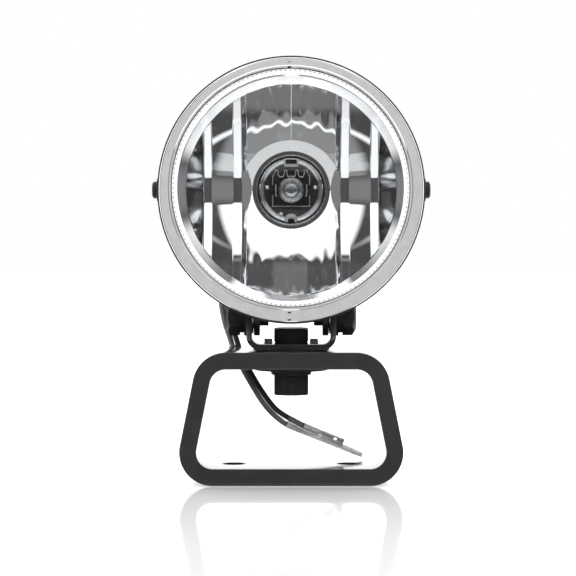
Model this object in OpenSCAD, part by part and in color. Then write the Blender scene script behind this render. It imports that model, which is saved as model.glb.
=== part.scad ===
// Round fog lamp on a yoke and a closed-loop bracket. Millimetres, +Z up, the lamp faces -Y.
// The origin is on the underside of the bracket, midway between its two bolt holes.

/* [Lamp] */
// Outer diameter of the bezel ring
bezel_d = 129.2; // [128:0.2:130]
// Height of the lamp's axis above the underside of the bracket
lamp_z = 145.6; // [144:0.2:150]
// Distance from the tilt axis to the bezel's front face
bezel_front = 34; // [33:0.5:36]
// Diameter of the clear opening in the reflector
aperture_d = 103; // [98:1:104]
// Diameter of the bulb's glass
bulb_d = 13; // [10:0.5:14]

/* [Bracket] */
// Width of the bracket at its widest
bracket_w = 110.4; // [104:0.2:116]
// Height of the bracket
bracket_h = 65.8; // [62:0.2:66]
// Depth of the bracket, front to back
bracket_depth = 54; // [46:1:54]
// Thickness of the bracket's wall
bracket_wall = 8.4; // [6:0.2:8.4]
// How far the bracket's sides lean in, in degrees
bracket_lean = 11.3; // [8:0.1:13]
// Distance between the two base bolt holes
base_hole_gap = 57.5; // [50:0.5:60]
// Diameter of the base bolt holes
base_hole_d = 11.5; // [9:0.5:12]

/* [Yoke] */
// Outside width of the yoke
yoke_w = 44.7; // [44:0.1:46]
// Thickness of the yoke's steel
yoke_t = 2.8; // [2.5:0.1:3]
// Height of the tilt axis
pivot_z = 82.7; // [82.5:0.1:84]

/* [Leads] */
// Diameter of each lead
lead_d = 2.6; // [2:0.1:2.6]

/* [Hidden] */
$fn = 96;

gap = 0.05;          // running clearance between faces of different bodies
bolt_r = 5;          // M10 thread and shank
hex_across = 17;     // M10 hexagon, across its flats
hex_corner_r = hex_across / 2 / cos(30);

// Bracket
corner_r = 16.5;     // outer corner radius of the bracket
corner_x = bracket_w / 2 - corner_r;
top_corner_x = corner_x - (bracket_h - 2 * corner_r) * tan(bracket_lean);

// Stack on the swivel bolt, from the bracket's top bar outwards
swivel_pad_r = 19;
swivel_pad_t = 0.5;
lower_pad_r = 18.4;
lower_pad_t = 1.85;
bar_under_z = bracket_h - bracket_wall;
yoke_z = bracket_h + swivel_pad_t + gap;
yoke_floor_z = yoke_z + yoke_t;
head_z = yoke_floor_z + 1.05;
bolt_head_h = 6.5;
washer_top_z = bar_under_z - lower_pad_t - gap;
washer_t = 2.3;
nut_top_z = washer_top_z - washer_t;
nut_h = 10;
nylon_z = 0.8;         // how far the nylon ring sits inside the nut's lower end
nylon_h = 1.9;
nylon_r = 6.8;

// Stack on the tilt bolts, outwards from the lamp's middle
eye_r = 11;                                 // rounded top of each yoke leg
leg_out = yoke_w / 2;
leg_in = leg_out - yoke_t;
friction_t = 0.6;
ear_r = 10;                                 // rounded bottom of each housing ear
ear_out = leg_in - gap - friction_t;
ear_t = 3.1;
ear_in = ear_out - ear_t;
insert_r = 6.2;
pivot_washer_t = 1.2;
pivot_spring_t = 2;
pivot_washer_x = leg_out + gap;
pivot_spring_x = pivot_washer_x + pivot_washer_t;
pivot_head_x = pivot_spring_x + pivot_spring_t;
pivot_head_h = 6.8;
thread_past_ear = 4.3;

// Lamp profile, as radius and distance ahead of the tilt axis
bezel_r = bezel_d / 2;
bezel_back = bezel_front - 9;
bezel_web = 1.5;
lens_r = 60.3;
lens_rim_t = 2.8;
lens_front = bezel_front - bezel_web - 0.1;
lens_back = lens_front - lens_rim_t;
lens_crown = 4.2;
gasket_t = 0.6;
rim_front = lens_back - gasket_t;
rim_t = 1;
rim_r = 57.5;
flange_r = 60;
aperture_r = aperture_d / 2;
aperture_front = rim_front - 3.8;
bowl_depth = 24;
focus_4 = aperture_r * aperture_r / bowl_depth;
vertex_front = aperture_front - bowl_depth;
bulb_hole_r = 17.7;
reflector_t = 2;
housing_rim_r = 65.8;
drum_r = 64.4;
drum_in_r = 62.2;
drum_back = 13;
shell_r = 52;
shell_front = 12;
shell_back = -30;
shell_back_r = 36;
shell_t = 2.4;
shell_long = (shell_front - shell_back) / sqrt(1 - pow(shell_back_r / shell_r, 2));
access_r = 20.2;
screw_front = 19;
screw_boss_r = 66.2;
spigot_r = drum_in_r - 0.1;
spigot_in_r = 60.5;
spigot_back = drum_back + shell_t + 0.2;
carrier_front = vertex_front + bulb_hole_r * bulb_hole_r / focus_4 - 1.5;
carrier_r = 15.5;
cover_r = 25;
cover_back = -42;
seal_t = 1.2;

// Leads. The grommet is low on the left of the housing's back
grommet_x = -16;
grommet_z = 118;
grommet_r = 4.4;
grommet_back = -38;

// The grey lead: out of the grommet, round to the left and down past the yoke, then behind the
// bracket's top bar and to the right, into its sleeve
grey_route = [
    [-17.5, 38, 118], [-17.5, 43, 118], [-19, 48, 115.5], [-23, 51, 110.5],
    [-28, 51, 105], [-32.5, 49, 99.5], [-35.2, 45.5, 93.5], [-36, 41.5, 87.5],
    [-35, 38, 81.4], [-33.7, 35, 76.2], [-31.6, 32.4, 70.6], [-29.9, 30.6, 65.2],
    [-27.7, 30.4, 60], [-24.8, 30.1, 54.2], [-21.9, 29.6, 49], [-18.9, 29, 43.9],
    [-14.6, 28, 37.2], [-10, 27.3, 31.8], [-5, 26.8, 27.6], [-1.8, 26.6, 25.6],
    [2, 26.3, 24], [6, 26, 22.4]
];
// The black lead keeps to the right of the grey one
black_route = [
    [-14.5, 38, 118], [-14.5, 42.5, 118], [-16, 46.5, 114], [-19.5, 48.5, 108.5],
    [-24.5, 49, 103], [-29, 47, 97.5], [-31.8, 43.2, 92], [-32.9, 39.3, 86],
    [-31.9, 36.2, 80.7], [-30.2, 33.4, 75], [-28.1, 31, 69.6], [-26.6, 29.5, 65],
    [-24.7, 29.2, 60], [-21.7, 28.8, 54.2], [-18.8, 28.2, 49], [-15.6, 27.2, 43.9],
    [-10.9, 25.7, 37.3], [-6.8, 24.6, 33], [-1, 23.1, 29.3], [5.4, 21.4, 26]
];
// The route's point where the stretch that follows the tilt ends
crossing = 7;
grey_sleeve_from = [-1.8, 26.6, 26.2];
grey_sleeve_to = [36.3, 24.2, 10.4];
black_sleeve_from = [-1, 23, 29.4];
black_sleeve_to = [6.2, 21.2, 25.6];
sleeve_r = 2.2;
sleeve_bore = 1.7;
terminal_at = [6.4, 21.1, 25.5];
terminal_drop = 22.6;  // degrees below the horizontal

// Turns a profile of radius and distance ahead into a solid on the lamp's axis
module on_lamp_axis() {
    translate([0, 0, lamp_z])
        rotate([90, 0, 0])
            children();
}

// A ring on the lamp's axis, from one distance ahead to another
module lamp_ring(outer, inner, back, front) {
    on_lamp_axis()
        translate([0, 0, back])
            difference() {
                cylinder(r = outer, h = front - back);
                translate([0, 0, -1])
                    cylinder(r = inner, h = front - back + 2);
            }
}

module ring(outer, inner, height) {
    difference() {
        cylinder(r = outer, h = height);
        translate([0, 0, -1])
            cylinder(r = inner, h = height + 2);
    }
}

// A hexagon standing on Z with its corners towards +X and -X
module hexagon(height) {
    cylinder(r = hex_corner_r, h = height, $fn = 6);
}

// Puts a part that stands on Z on both tilt bolts, at this distance from the middle
module on_tilt_bolts(x) {
    for (side = [-1, 1])
        translate([side * x, 0, pivot_z])
            rotate([0, side * 90, 0])
                children();
}

// Stands its children, which are built on Z, on the line from one point towards another
module along(from, to) {
    way = to - from;
    translate(from)
        rotate([0, acos(way.z / norm(way)), atan2(way.y, way.x)])
            children();
}

// ---- the bracket and its pads ----

// The closed trapezoid, filled: four corner circles and the straight sides that touch them
module trapezoid(inset, depth) {
    r = corner_r - inset;
    low = [corner_x, corner_r];
    high = [top_corner_x, bracket_h - corner_r];
    out = r * [cos(bracket_lean), sin(bracket_lean)];
    rotate([90, 0, 0])
        translate([0, 0, -depth / 2]) {
            linear_extrude(depth)
                polygon([
                    [-low.x, low.y - r], [low.x, low.y - r], low + out, high + out,
                    [high.x, high.y + r], [-high.x, high.y + r],
                    [-high.x - out.x, high.y + out.y], [-low.x - out.x, low.y + out.y]
                ]);
            for (side = [-1, 1], corner = [low, high])
                translate([side * corner.x, corner.y, 0])
                    cylinder(r = r, h = depth);
        }
}

module loop_bracket() {
    color([0.1, 0.1, 0.11])
        difference() {
            trapezoid(0, bracket_depth);
            trapezoid(bracket_wall, bracket_depth + 2);
            for (side = [-1, 1])
                translate([side * base_hole_gap / 2, 0, -1])
                    cylinder(d = base_hole_d, h = bracket_wall + 2);
            translate([0, 0, bar_under_z - 1])
                cylinder(r = bolt_r + gap, h = bracket_wall + 2);
        }
}

module swivel_pad() {
    color([0.16, 0.16, 0.17])
        translate([0, 0, bracket_h])
            ring(swivel_pad_r, bolt_r + gap, swivel_pad_t);
}

module lower_pad() {
    color([0.16, 0.16, 0.17])
        translate([0, 0, bar_under_z - lower_pad_t])
            ring(lower_pad_r, bolt_r + gap, lower_pad_t);
}

// ---- the yoke and the swivel bolt ----

// The U seen from the front: two rounded lower corners
module yoke_front(inset) {
    bend_r = 7 - inset;
    half_w = yoke_w / 2 - inset;
    top = pivot_z + eye_r + 1;
    translate([0, 50, 0])
        rotate([90, 0, 0]) {
            for (side = [-1, 1])
                translate([side * (half_w - bend_r), yoke_z + inset + bend_r, 0])
                    cylinder(r = bend_r, h = 100);
            translate([-half_w + bend_r, yoke_z + inset, 0])
                cube([2 * (half_w - bend_r), top - yoke_z, 100]);
            translate([-half_w, yoke_z + inset + bend_r, 0])
                cube([2 * half_w, top - yoke_z, 100]);
        }
}

// The leg seen from the side: a wide foot that narrows to a round eye
module yoke_side() {
    half_foot = 15;
    straight = 5;
    reach = yoke_w / 2 + 1;
    translate([-reach, 0, 0])
        rotate([90, 0, 90]) {
            linear_extrude(2 * reach)
                polygon([
                    [-half_foot, yoke_z - 1], [half_foot, yoke_z - 1], [half_foot, yoke_z + straight],
                    [eye_r, pivot_z], [-eye_r, pivot_z], [-half_foot, yoke_z + straight]
                ]);
            translate([0, pivot_z, 0])
                cylinder(r = eye_r, h = 2 * reach);
        }
}

module yoke() {
    nib = [4, 8, 2.2];
    nib_x = 9.4;
    color([0.1, 0.1, 0.11]) {
        difference() {
            intersection() {
                difference() {
                    yoke_front(0);
                    yoke_front(yoke_t);
                }
                yoke_side();
            }
            translate([0, 0, yoke_z - 1])
                cylinder(r = bolt_r + gap, h = yoke_t + 2);
            for (side = [-1, 1])
                translate([side * (leg_in - 1), 0, pivot_z])
                    rotate([0, side * 90, 0])
                        cylinder(r = bolt_r + gap, h = yoke_t + 2);
        }
        for (side = [-1, 1])
            translate([side * (nib_x + nib.x / 2), 0, yoke_floor_z + nib.z / 2 - 0.1])
                cube([nib.x, nib.y, nib.z + 0.2], center = true);
    }
}

// A hex bolt hanging from the underside of its head at z = 0, with a chamfered top
module hex_bolt(head_h, shank, chamfer) {
    intersection() {
        hexagon(head_h);
        union() {
            cylinder(r = hex_corner_r + 1, h = head_h - chamfer);
            translate([0, 0, head_h - chamfer])
                cylinder(r1 = hex_corner_r, r2 = hex_corner_r - 1.6 * chamfer, h = chamfer);
        }
    }
    translate([0, 0, -shank])
        cylinder(r = bolt_r, h = shank + 1);
}

module swivel_bolt() {
    color([0.12, 0.12, 0.13])
        translate([0, 0, head_z])
            rotate([0, 0, 30])
                hex_bolt(bolt_head_h, head_z - nut_top_z + nut_h, 1);
}

module head_washer() {
    color([0.12, 0.12, 0.13])
        translate([0, 0, yoke_floor_z])
            ring(8.2, bolt_r + gap, head_z - yoke_floor_z);
}

// A split ring
module split_washer(outer, height) {
    split = 1.2;
    difference() {
        ring(outer, bolt_r + gap, height);
        translate([bolt_r - 1, -split / 2, -1])
            cube([outer, split, height + 2]);
    }
}

module flange_washer() {
    color([0.12, 0.12, 0.13])
        translate([0, 0, nut_top_z])
            ring(10.1, bolt_r + gap, washer_t);
}

// A tall hexagon nut with chamfered ends and a groove inside for the nylon ring
module lock_nut() {
    chamfer = 0.6;
    color([0.12, 0.12, 0.13])
        translate([0, 0, nut_top_z - nut_h])
            difference() {
                intersection() {
                    rotate([0, 0, 30])
                        hexagon(nut_h);
                    union() {
                        cylinder(r1 = hex_corner_r - 2 * chamfer, r2 = hex_corner_r, h = chamfer);
                        translate([0, 0, chamfer])
                            cylinder(r = hex_corner_r + 1, h = nut_h - 2 * chamfer);
                        translate([0, 0, nut_h - chamfer])
                            cylinder(r1 = hex_corner_r, r2 = hex_corner_r - 2 * chamfer, h = chamfer);
                    }
                }
                translate([0, 0, -1])
                    cylinder(r = bolt_r + 0.02, h = nut_h + 2);
                translate([0, 0, nylon_z])
                    cylinder(r = nylon_r, h = nylon_h);
            }
}

module nylon_ring() {
    color([0.2, 0.3, 0.6])
        translate([0, 0, nut_top_z - nut_h + nylon_z])
            ring(nylon_r - 0.02, bolt_r + 0.02, nylon_h);
}

// ---- the lamp's shell ----

// A quarter of an ellipse, from its widest radius back to the flat rear face
function shell_points(inset, steps) = [
    for (i = [0 : steps])
        let (ahead = shell_front - (shell_front - shell_back - inset) * i / steps)
        [(shell_r - inset) * sqrt(1 - pow((shell_front - ahead) / shell_long, 2)), ahead]
];

// The filled outer shape, which may be grown by a little to cut a neighbour clear of it
module shell_outside(grow = 0) {
    on_lamp_axis()
        rotate_extrude()
            polygon(concat(
                [[0, bezel_back], [housing_rim_r, bezel_back], [housing_rim_r, bezel_back - 4],
                 [drum_r + grow, bezel_back - 4.6], [drum_r + grow, drum_back - grow],
                 [shell_r + grow, shell_front - grow]],
                shell_points(-grow, 16),
                [[0, shell_back - grow]]));
}

module shell_inside() {
    on_lamp_axis()
        rotate_extrude()
            polygon(concat(
                [[0, bezel_back + 1], [drum_in_r, bezel_back + 1], [drum_in_r, drum_back + shell_t],
                 [shell_r - shell_t, shell_front + shell_t]],
                shell_points(shell_t, 16),
                [[0, shell_back + shell_t]]));
}

// One ear's outline seen from the side
module ear() {
    flare = 13;
    rise = 20;
    rotate([90, 0, 90]) {
        linear_extrude(ear_t)
            polygon([[-ear_r, pivot_z], [ear_r, pivot_z], [flare, pivot_z + rise], [-ear_r, pivot_z + rise]]);
        translate([0, pivot_z, 0])
            cylinder(r = ear_r, h = ear_t);
    }
}

module housing_ears() {
    color([0.09, 0.09, 0.1])
        difference() {
            union() {
                translate([ear_in, 0, 0])
                    ear();
                translate([-ear_out, 0, 0])
                    ear();
            }
            shell_outside(gap);
            on_tilt_bolts(ear_in - 1)
                cylinder(r = insert_r + 0.02, h = ear_t + 2);
        }
}

module housing() {
    color([0.09, 0.09, 0.1])
        difference() {
            union() {
                shell_outside();
                for (side = [-1, 1])
                    translate([side * (drum_in_r + 1), -screw_front, lamp_z])
                        rotate([0, side * 90, 0])
                            cylinder(r = 5.6, h = screw_boss_r - drum_in_r - 1);
                translate([grommet_x, -shell_back, grommet_z])
                    rotate([-90, 0, 0])
                        cylinder(r = grommet_r + 2, h = 2.5);
            }
            shell_inside();
            on_lamp_axis()
                translate([0, 0, shell_back - 1])
                    cylinder(r = access_r, h = shell_t + 2);
            for (side = [-1, 1])
                translate([side * (drum_in_r - 2), -screw_front, lamp_z])
                    rotate([0, side * 90, 0])
                        cylinder(r = 2.1, h = 8);
            translate([grommet_x, -shell_back - shell_t - 1, grommet_z])
                rotate([-90, 0, 0])
                    cylinder(r = grommet_r + 0.02, h = shell_t + 6);
        }
}

module bezel() {
    lip_r = 58.2;
    groove_in = 58.7;
    groove_out = 59.3;
    edge = 0.9;
    skirt_in = bezel_r - 1.9;
    color([0.7, 0.7, 0.7])
        difference() {
            on_lamp_axis()
                rotate_extrude()
                    polygon([
                        [lip_r, bezel_front - bezel_web], [lip_r, bezel_front - 0.3],
                        [lip_r + 0.3, bezel_front], [groove_in, bezel_front],
                        [groove_in, bezel_front - 0.6], [groove_out, bezel_front - 0.6],
                        [groove_out, bezel_front - 0.1], [bezel_r - edge, bezel_front],
                        [bezel_r, bezel_front - edge], [bezel_r, bezel_back + gap],
                        [skirt_in, bezel_back + gap], [skirt_in, bezel_front - bezel_web - 1],
                        [spigot_r, bezel_front - bezel_web - 1], [spigot_r, spigot_back],
                        [spigot_in_r, spigot_back], [spigot_in_r, bezel_front - bezel_web]
                    ]);
            for (side = [-1, 1])
                translate([side * (spigot_in_r - 1), -screw_front, lamp_z])
                    rotate([0, side * 90, 0])
                        cylinder(r = 1.98, h = 3);
        }
}

module bezel_screws() {
    head_r = 4.15;
    head_h = 2.3;
    color([0.1, 0.1, 0.1])
        for (side = [-1, 1])
            translate([side * screw_boss_r, -screw_front, lamp_z])
                rotate([0, side * 90, 0])
                    difference() {
                        union() {
                            cylinder(r = head_r, h = head_h - 0.7);
                            translate([0, 0, head_h - 0.7])
                                cylinder(r1 = head_r, r2 = head_r - 1.1, h = 0.7);
                            translate([0, 0, spigot_in_r - screw_boss_r])
                                cylinder(r = 1.96, h = screw_boss_r - spigot_in_r + 0.5);
                        }
                        for (turn = [0, 90])
                            rotate([0, 0, turn])
                                translate([-2.1, -0.45, head_h - 1.3])
                                    cube([4.2, 0.9, 2]);
                    }
}

// A dome through the rim's edge, as heights over evenly spaced radii
function dome(edge_r, edge_front, crown, steps) = [
    for (i = [0 : steps])
        let (r = edge_r * i / steps)
        [r, edge_front + crown * (1 - pow(r / edge_r, 2))]
];

module lens() {
    window_r = 57.8;
    steps = 12;
    inner = dome(window_r - 1, lens_back + 0.1, lens_crown, steps);
    outer = dome(window_r, lens_front, lens_crown, steps);
    color([0.9, 0.95, 1, 0.35])
        on_lamp_axis()
            rotate_extrude()
                polygon(concat(
                    inner,
                    [[window_r, lens_back], [lens_r, lens_back], [lens_r, lens_front]],
                    [for (i = [steps : -1 : 0]) outer[i]]));
}

module lens_gasket() {
    color([0.08, 0.08, 0.08])
        lamp_ring(lens_r, 58.2, rim_front + 0.02, lens_back - 0.02);
}

// The bowl's inner face from the bulb hole to the aperture
function bowl(offset_r, steps) = [
    for (i = [0 : steps])
        let (r = bulb_hole_r + (aperture_r - bulb_hole_r) * i / steps)
        [r + offset_r, vertex_front + r * r / focus_4]
];

module reflector() {
    steps = 14;
    inner = bowl(0, steps);
    outer = bowl(reflector_t, steps);
    color([0.85, 0.86, 0.88])
        on_lamp_axis()
            rotate_extrude()
                polygon(concat(
                    inner,
                    [[rim_r, rim_front], [flange_r, rim_front], [flange_r, rim_front - rim_t],
                     [rim_r + 1.5, rim_front - rim_t]],
                    [for (i = [steps : -1 : 0]) outer[i]]));
}

// ---- the bulb and what holds it ----

module carrier_ring() {
    color([0.8, 0.8, 0.82])
        difference() {
            lamp_ring(bulb_hole_r - 0.05, carrier_r + 0.05, carrier_front - 1.5, carrier_front + 1.2);
            translate([-3.3, -carrier_front - 1.3, lamp_z - bulb_hole_r - 1])
                cube([6.6, 1.4, 4]);
        }
}

module bulb_carrier() {
    color([0.06, 0.06, 0.06])
        lamp_ring(carrier_r, 6, carrier_front - 1.5, carrier_front);
}

module bulb_plate() {
    plate = [18.4, 1.1, 16.4];
    dip_r = 1.6;
    front_y = -carrier_front - 0.02;
    color([0.25, 0.25, 0.26])
        difference() {
            translate([-plate.x / 2, front_y - plate.y, lamp_z - plate.z / 2])
                cube(plate);
            for (x = [-5, 5])
                translate([x, front_y + 1, lamp_z + plate.z / 2])
                    rotate([90, 0, 0])
                        cylinder(r = dip_r, h = 4);
            translate([0, front_y + 1, lamp_z])
                rotate([90, 0, 0])
                    cylinder(r = bulb_d / 2 + 0.3, h = 4);
        }
}

module plate_rivets() {
    height = 1.2;
    color([0.8, 0.8, 0.8])
        for (at = [[-12, 1.3], [12, 1.3], [-5, -12]])
            translate([at.x, -carrier_front - 0.02, lamp_z + at.y])
                rotate([90, 0, 0]) {
                    cylinder(r = 1.3, h = height - 0.5);
                    translate([0, 0, height - 0.5])
                        cylinder(r1 = 1.3, r2 = 0.7, h = 0.5);
                }
}

module bulb_base() {
    color([0.75, 0.7, 0.5])
        on_lamp_axis() {
            translate([0, 0, carrier_front - 8])
                cylinder(r = 9, h = 6.4);
            translate([0, 0, carrier_front - 2])
                cylinder(r = 5.8, h = 2.4);
        }
}

module bulb_glass() {
    r = bulb_d / 2;
    length = 15;
    start = carrier_front + 0.5;
    steps = 8;
    tip = [for (i = [0 : steps]) [r * cos(90 * i / steps), start + length + r * sin(90 * i / steps)]];
    bore = [for (i = [steps : -1 : 0])
        [(r - 0.9) * cos(90 * i / steps), start + length + (r - 0.9) * sin(90 * i / steps)]];
    color([0.9, 0.95, 1, 0.4])
        on_lamp_axis()
            rotate_extrude()
                polygon(concat([[r, start]], tip, bore, [[r - 0.9, start + 1.5], [0, start + 1.5], [0, start]]));
}

module filament() {
    post_gap = 3;
    start = carrier_front + 2.1;
    coil_front = start + 9;
    color([0.7, 0.7, 0.7]) {
        for (side = [-1, 1])
            translate([side * post_gap, 0, lamp_z])
                rotate([90, 0, 0])
                    translate([0, 0, start])
                        cylinder(r = 0.35, h = coil_front - start + 0.4);
        translate([-post_gap, -coil_front, lamp_z])
            rotate([0, 90, 0])
                cylinder(r = 0.6, h = 2 * post_gap);
    }
}

module bulb_clip() {
    wire_r = 0.6;
    color([0.75, 0.75, 0.75])
        on_lamp_axis()
            translate([0, 0, carrier_front - 8.8])
                rotate_extrude()
                    translate([7.5, 0])
                        circle(r = wire_r, $fn = 24);
}

module bulb_contact() {
    body = [10, 3.5, 7];
    color([0.12, 0.12, 0.12])
        translate([-body.x / 2, -carrier_front + 10.2 - body.y / 2, lamp_z - body.z / 2])
            cube(body);
}

// Straight wires inside the housing, from the grommet's inner lip to the bulb's contact
module feed_wires() {
    start_y = -shell_back - shell_t - 1.7;
    end_y = -carrier_front + 12.7;
    color([0.3, 0.3, 0.3])
        for (x = [-1.5, 1.5])
            along([grommet_x + x, start_y, grommet_z + 1], [2 * x, end_y, lamp_z - 1])
                cylinder(r = 0.8, h = norm([2 * x - grommet_x - x, end_y - start_y, lamp_z - grommet_z - 2]));
}

module rear_cover() {
    spigot = 3;
    color([0.1, 0.1, 0.11])
        on_lamp_axis()
            rotate_extrude()
                polygon([
                    [0, cover_back], [cover_r - 6, cover_back], [cover_r - 2.5, cover_back + 2.5],
                    [cover_r - 1, shell_back - seal_t - 3], [cover_r, shell_back - seal_t - 3],
                    [cover_r, shell_back - seal_t - 0.02], [access_r - 0.2, shell_back - seal_t - 0.02],
                    [access_r - 0.2, shell_back - seal_t + spigot], [access_r - 2.2, shell_back - seal_t + spigot],
                    [access_r - 2.2, cover_back + 3], [0, cover_back + 3]
                ]);
}

module cover_seal() {
    color([0.05, 0.05, 0.05])
        lamp_ring(cover_r - 0.5, access_r + 0.5, shell_back - seal_t, shell_back - 0.02);
}

module lead_grommet() {
    seat = 2.5;
    inner_lip = 1;
    color([0.05, 0.05, 0.05])
        translate([grommet_x, -shell_back, grommet_z])
            rotate([-90, 0, 0]) {
                translate([0, 0, -shell_t - inner_lip])
                    cylinder(r = grommet_r, h = shell_t + inner_lip + seat);
                translate([0, 0, seat])
                    cylinder(r1 = grommet_r + 1.2, r2 = 3.4, h = -grommet_back + shell_back - seat);
            }
}

// ---- the tilt bolts ----

module ear_inserts() {
    color([0.7, 0.7, 0.65])
        on_tilt_bolts(ear_in)
            ring(insert_r, bolt_r + 0.02, ear_t);
}

module friction_washers() {
    color([0.5, 0.5, 0.5])
        on_tilt_bolts(ear_out + 0.01)
            ring(9, bolt_r + 0.02, friction_t - 0.01);
}

module pivot_washers() {
    color([0.12, 0.12, 0.13])
        on_tilt_bolts(pivot_washer_x)
            ring(10, bolt_r + 0.02, pivot_washer_t);
}

module pivot_spring_washers() {
    color([0.12, 0.12, 0.13])
        on_tilt_bolts(pivot_spring_x + 0.01)
            split_washer(8.5, pivot_spring_t - 0.02);
}

module pivot_bolts() {
    color([0.12, 0.12, 0.13])
        on_tilt_bolts(pivot_head_x)
            hex_bolt(pivot_head_h, pivot_head_x - ear_in + thread_past_ear, 1.9);
}

// ---- the leads ----

function unit(v) = v / norm(v);

// The direction of a route at one of its points
function heading(route, i) =
    unit(route[min(i + 1, len(route) - 1)] - route[max(i - 1, 0)]);

// One ring of points round a route's point
function ring_at(route, i, r, sides) =
    let (ahead = heading(route, i),
         side = unit(cross(ahead, [0.3, 1, 0.2])),
         up = cross(side, ahead))
    [for (k = [0 : sides - 1])
        route[i] + r * cos(360 * k / sides) * side + r * sin(360 * k / sides) * up];

// A tube swept along a route from one of its points to another
module tube(route, first, last, r) {
    sides = 8;
    spans = last - first;
    points = [for (i = [first : last]) each ring_at(route, i, r, sides)];
    walls = [for (i = [0 : spans - 1], k = [0 : sides - 1])
        let (next = (k + 1) % sides)
        [i * sides + k, i * sides + next, (i + 1) * sides + next, (i + 1) * sides + k]];
    start_cap = [for (k = [sides - 1 : -1 : 0]) k];
    end_cap = [for (k = [0 : sides - 1]) spans * sides + k];
    polyhedron(points, concat([start_cap], walls, [end_cap]), convexity = 4);
}

module lead_grey_upper() {
    color([0.5, 0.5, 0.5])
        tube(grey_route, 0, crossing, lead_d / 2);
}

module lead_black_upper() {
    color([0.07, 0.07, 0.07])
        tube(black_route, 0, crossing, lead_d / 2);
}

module lead_grey() {
    color([0.5, 0.5, 0.5])
        tube(grey_route, crossing, len(grey_route) - 1, lead_d / 2);
}

module lead_black() {
    color([0.07, 0.07, 0.07])
        tube(black_route, crossing, len(black_route) - 1, lead_d / 2);
}

// A flat band round both leads, level with the bracket's top bar
module cable_tie() {
    half = [1.5, 0];
    height = 3;
    lean = 22;
    color([0.55, 0.55, 0.55])
        translate([-28.2, 30.2, 64.4])
            rotate([0, lean, 0])
                translate([0, 0, -height / 2])
                    difference() {
                        union() {
                            for (side = [-1, 1])
                                translate(side * half)
                                    cylinder(r = 2.3, h = height);
                            translate([-half.x, -2.3, 0])
                                cube([2 * half.x, 4.6, height]);
                        }
                        translate([0, 0, -1]) {
                            for (side = [-1, 1])
                                translate(side * half)
                                    cylinder(r = 1.5, h = height + 2);
                            translate([-half.x, -1.5, 0])
                                cube([2 * half.x, 3, height + 2]);
                        }
                    }
}

module black_sleeve() {
    color([0.9, 0.9, 0.9, 0.5])
        along(black_sleeve_from, black_sleeve_to)
            ring(sleeve_r, sleeve_bore, norm(black_sleeve_to - black_sleeve_from) - 0.1);
}

// A female spade terminal: crimp barrel, waist and flat receptacle
module spade_terminal() {
    barrel = 8.3;
    waist = 2.2;
    receptacle = [3.6, 2.2, 11.4];
    color([0.6, 0.6, 0.6])
        translate(terminal_at)
            rotate([0, 90 + terminal_drop, 0]) {
                cylinder(r = 1.9, h = barrel);
                translate([0, 0, barrel + waist / 2])
                    cube([2.4, 1.2, waist + 1], center = true);
                translate([0, 0, barrel + waist + receptacle.z / 2])
                    difference() {
                        cube(receptacle, center = true);
                        translate([0, 0, 2])
                            cube([receptacle.x - 1.2, 0.9, receptacle.z], center = true);
                    }
            }
}

// A sleeve that narrows a little towards its open end
module grey_sleeve() {
    length = norm(grey_sleeve_to - grey_sleeve_from);
    end_r = 1.6;
    color([0.95, 0.95, 0.95, 0.5])
        along(grey_sleeve_from, grey_sleeve_to)
            difference() {
                cylinder(r1 = sleeve_r, r2 = end_r, h = length);
                translate([0, 0, -0.01])
                    cylinder(r1 = sleeve_bore, r2 = end_r - 0.5, h = length + 0.02);
            }
}

module grey_terminal() {
    start = 9;
    barrel = 8;
    pin = 20;
    color([0.6, 0.6, 0.6])
        along(grey_sleeve_from, grey_sleeve_to)
            translate([0, 0, start]) {
                cylinder(r = 1.4, h = barrel);
                translate([0, 0, barrel - 1])
                    cylinder(r = 0.8, h = pin + 1);
            }
}

loop_bracket();
swivel_pad();
lower_pad();
yoke();
swivel_bolt();
head_washer();
flange_washer();
lock_nut();
nylon_ring();
housing();
housing_ears();
bezel();
bezel_screws();
lens();
lens_gasket();
reflector();
carrier_ring();
bulb_carrier();
bulb_plate();
plate_rivets();
bulb_base();
bulb_glass();
filament();
bulb_clip();
bulb_contact();
feed_wires();
rear_cover();
cover_seal();
lead_grommet();
ear_inserts();
friction_washers();
pivot_washers();
pivot_spring_washers();
pivot_bolts();
lead_grey_upper();
lead_black_upper();
lead_grey();
lead_black();
cable_tie();
black_sleeve();
spade_terminal();
grey_sleeve();
grey_terminal();
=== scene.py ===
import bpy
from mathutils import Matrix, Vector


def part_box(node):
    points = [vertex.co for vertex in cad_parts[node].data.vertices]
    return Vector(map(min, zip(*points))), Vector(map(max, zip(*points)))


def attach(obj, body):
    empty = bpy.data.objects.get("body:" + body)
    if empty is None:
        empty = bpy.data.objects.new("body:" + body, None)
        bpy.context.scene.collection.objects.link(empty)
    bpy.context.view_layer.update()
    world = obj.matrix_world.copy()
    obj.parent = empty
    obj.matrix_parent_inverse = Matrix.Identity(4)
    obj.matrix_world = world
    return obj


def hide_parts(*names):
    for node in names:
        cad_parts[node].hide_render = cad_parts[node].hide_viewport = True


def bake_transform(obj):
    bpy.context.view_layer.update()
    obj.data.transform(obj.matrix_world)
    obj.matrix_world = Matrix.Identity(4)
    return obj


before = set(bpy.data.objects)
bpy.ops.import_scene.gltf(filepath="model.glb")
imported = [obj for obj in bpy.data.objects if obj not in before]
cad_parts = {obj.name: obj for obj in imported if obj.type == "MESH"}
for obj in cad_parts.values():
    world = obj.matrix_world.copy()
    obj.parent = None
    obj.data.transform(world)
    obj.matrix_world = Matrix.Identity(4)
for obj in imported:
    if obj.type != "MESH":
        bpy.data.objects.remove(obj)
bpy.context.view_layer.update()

# The visual model of a round fog lamp on a yoke and a closed-loop bracket. Shapes are worked out in
# millimetres in the CAD frame (+Z up, the lamp faces -Y) and put into the scene in metres.
import math
import random

import bmesh
import bpy
from mathutils import Matrix, Vector

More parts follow.
